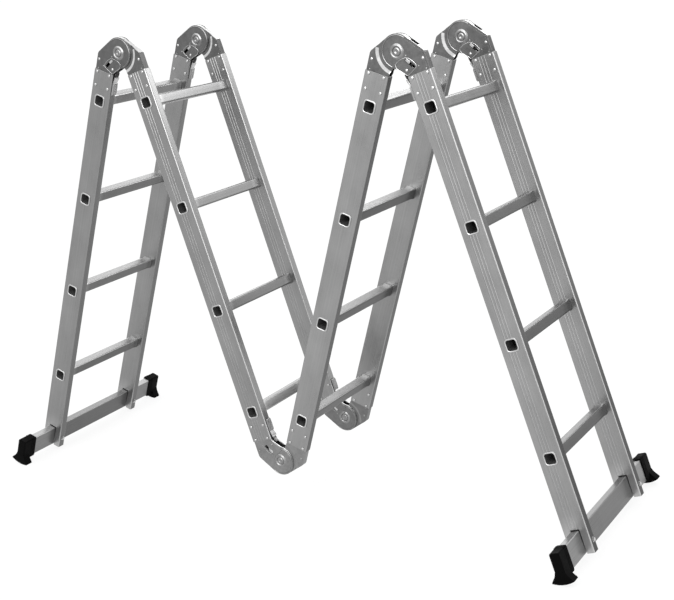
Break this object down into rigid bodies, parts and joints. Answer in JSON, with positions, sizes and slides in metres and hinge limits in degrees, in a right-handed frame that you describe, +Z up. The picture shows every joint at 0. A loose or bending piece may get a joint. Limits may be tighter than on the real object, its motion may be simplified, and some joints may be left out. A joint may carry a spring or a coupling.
{
  "type": "multi position ladder",
  "caption": "Folding multi position ladder with sections joined by lockable steel hinges, standing in an M on two stabiliser bars with flared rubber feet.",
  "frame": {"origin": "on the floor, midway between the feet across the length and the width", "axes": "+X along the row of sections from section 1 to section 4, +Y along the rungs from the near stiles to the far stiles, +Z up"},
  "size_m": [1.7122, 0.603, 1.1928],
  "materials": {
    "aluminium": "extruded, satin",
    "zinc_steel": "zinc plated pressed sheet",
    "lever_steel": "dark coated",
    "rubber": "moulded, matt"
  },
  "bodies": {
    "section_1": {"stile_1_near": "aluminium", "stile_1_far": "aluminium", "rung_1_1": "aluminium", "rung_1_2": "aluminium", "rung_1_3": "aluminium", "rung_1_4": "aluminium", "lock_leaf_a_near": "zinc_steel", "pivot_a_near": "zinc_steel", "lock_leaf_a_far": "zinc_steel", "pivot_a_far": "zinc_steel", "bar_1": "aluminium", "foot_1_near": "rubber", "foot_1_far": "rubber"},
    "section_2": {"stile_2_near": "aluminium", "stile_2_far": "aluminium", "rung_2_1": "aluminium", "rung_2_2": "aluminium", "rung_2_3": "aluminium", "rung_2_4": "aluminium", "plain_leaf_a_near": "zinc_steel", "plain_leaf_a_far": "zinc_steel", "lock_leaf_b_near": "zinc_steel", "pivot_b_near": "zinc_steel", "lock_leaf_b_far": "zinc_steel", "pivot_b_far": "zinc_steel"},
    "section_3": {"stile_3_near": "aluminium", "stile_3_far": "aluminium", "rung_3_1": "aluminium", "rung_3_2": "aluminium", "rung_3_3": "aluminium", "rung_3_4": "aluminium", "plain_leaf_b_near": "zinc_steel", "plain_leaf_b_far": "zinc_steel", "plain_leaf_c_near": "zinc_steel", "plain_leaf_c_far": "zinc_steel"},
    "section_4": {"stile_4_near": "aluminium", "stile_4_far": "aluminium", "rung_4_1": "aluminium", "rung_4_2": "aluminium", "rung_4_3": "aluminium", "rung_4_4": "aluminium", "lock_leaf_c_near": "zinc_steel", "pivot_c_near": "zinc_steel", "lock_leaf_c_far": "zinc_steel", "pivot_c_far": "zinc_steel", "bar_4": "aluminium", "foot_4_near": "rubber", "foot_4_far": "rubber"},
    "lever_a_near": {"lever_a_near": "lever_steel"},
    "bolt_a_near": {"bolt_a_near": "zinc_steel"},
    "lever_a_far": {"lever_a_far": "lever_steel"},
    "bolt_a_far": {"bolt_a_far": "zinc_steel"},
    "lever_b_near": {"lever_b_near": "lever_steel"},
    "bolt_b_near": {"bolt_b_near": "zinc_steel"},
    "lever_b_far": {"lever_b_far": "lever_steel"},
    "bolt_b_far": {"bolt_b_far": "zinc_steel"},
    "lever_c_near": {"lever_c_near": "lever_steel"},
    "bolt_c_near": {"bolt_c_near": "zinc_steel"},
    "lever_c_far": {"lever_c_far": "lever_steel"},
    "bolt_c_far": {"bolt_c_far": "zinc_steel"}
  },
  "joints": [
    {"name": "fold_a", "type": "hinge", "parent": "section_1", "child": "section_2", "pos_m": [-0.40244, 0, 1.15334], "axis": [0, -1, 0], "range_deg": [-36, 144]},
    {"name": "fold_b", "type": "hinge", "parent": "section_2", "child": "section_3", "pos_m": [0, 0, 0.10346], "axis": [0, 1, 0], "range_deg": [-34.5, 145.5]},
    {"name": "fold_c", "type": "hinge", "parent": "section_3", "child": "section_4", "pos_m": [0.40244, 0, 1.15334], "axis": [0, -1, 0], "range_deg": [-36, 144]},
    {"name": "release_a_near", "type": "hinge", "parent": "section_1", "child": "lever_a_near", "pos_m": [-0.42638, -0.1623, 1.11237], "axis": [0, -1, 0], "range_deg": [0, 25], "stiffness_Nm_per_rad": 0.6, "springref_deg": -11.46},
    {"name": "unlock_a_near", "type": "slide", "parent": "section_1", "child": "bolt_a_near", "axis": [-0.7853, 0, -0.6191], "range_m": [0, 0.0062]},
    {"name": "release_a_far", "type": "hinge", "parent": "section_1", "child": "lever_a_far", "pos_m": [-0.42638, 0.1623, 1.11237], "axis": [0, -1, 0], "range_deg": [0, 25], "stiffness_Nm_per_rad": 0.6, "springref_deg": -11.46},
    {"name": "unlock_a_far", "type": "slide", "parent": "section_1", "child": "bolt_a_far", "axis": [-0.7853, 0, -0.6191], "range_m": [0, 0.0062]},
    {"name": "release_b_near", "type": "hinge", "parent": "section_2", "child": "lever_b_near", "pos_m": [-0.02286, -0.1623, 0.14505], "axis": [0, 1, 0], "range_deg": [0, 25], "stiffness_Nm_per_rad": 0.6, "springref_deg": -11.46},
    {"name": "unlock_b_near", "type": "slide", "parent": "section_2", "child": "bolt_b_near", "axis": [-0.7688, 0, 0.6394], "range_m": [0, 0.0062]},
    {"name": "release_b_far", "type": "hinge", "parent": "section_2", "child": "lever_b_far", "pos_m": [-0.02286, 0.1623, 0.14505], "axis": [0, 1, 0], "range_deg": [0, 25], "stiffness_Nm_per_rad": 0.6, "springref_deg": -11.46},
    {"name": "unlock_b_far", "type": "slide", "parent": "section_2", "child": "bolt_b_far", "axis": [-0.7688, 0, 0.6394], "range_m": [0, 0.0062]},
    {"name": "release_c_near", "type": "hinge", "parent": "section_4", "child": "lever_c_near", "pos_m": [0.42638, -0.1623, 1.11237], "axis": [0, 1, 0], "range_deg": [0, 25], "stiffness_Nm_per_rad": 0.6, "springref_deg": -11.46},
    {"name": "unlock_c_near", "type": "slide", "parent": "section_4", "child": "bolt_c_near", "axis": [0.7853, 0, -0.6191], "range_m": [0, 0.0062]},
    {"name": "release_c_far", "type": "hinge", "parent": "section_4", "child": "lever_c_far", "pos_m": [0.42638, 0.1623, 1.11237], "axis": [0, 1, 0], "range_deg": [0, 25], "stiffness_Nm_per_rad": 0.6, "springref_deg": -11.46},
    {"name": "unlock_c_far", "type": "slide", "parent": "section_4", "child": "bolt_c_far", "axis": [0.7853, 0, -0.6191], "range_m": [0, 0.0062]}
  ],
  "couplings": [
    {"joint": "unlock_a_near", "follows": "release_a_near", "m_per_rad": 0.0138},
    {"joint": "unlock_a_far", "follows": "release_a_far", "m_per_rad": 0.0138},
    {"joint": "unlock_b_near", "follows": "release_b_near", "m_per_rad": 0.0138},
    {"joint": "unlock_b_far", "follows": "release_b_far", "m_per_rad": 0.0138},
    {"joint": "unlock_c_near", "follows": "release_c_near", "m_per_rad": 0.0138},
    {"joint": "unlock_c_far", "follows": "release_c_far", "m_per_rad": 0.0138}
  ]
}
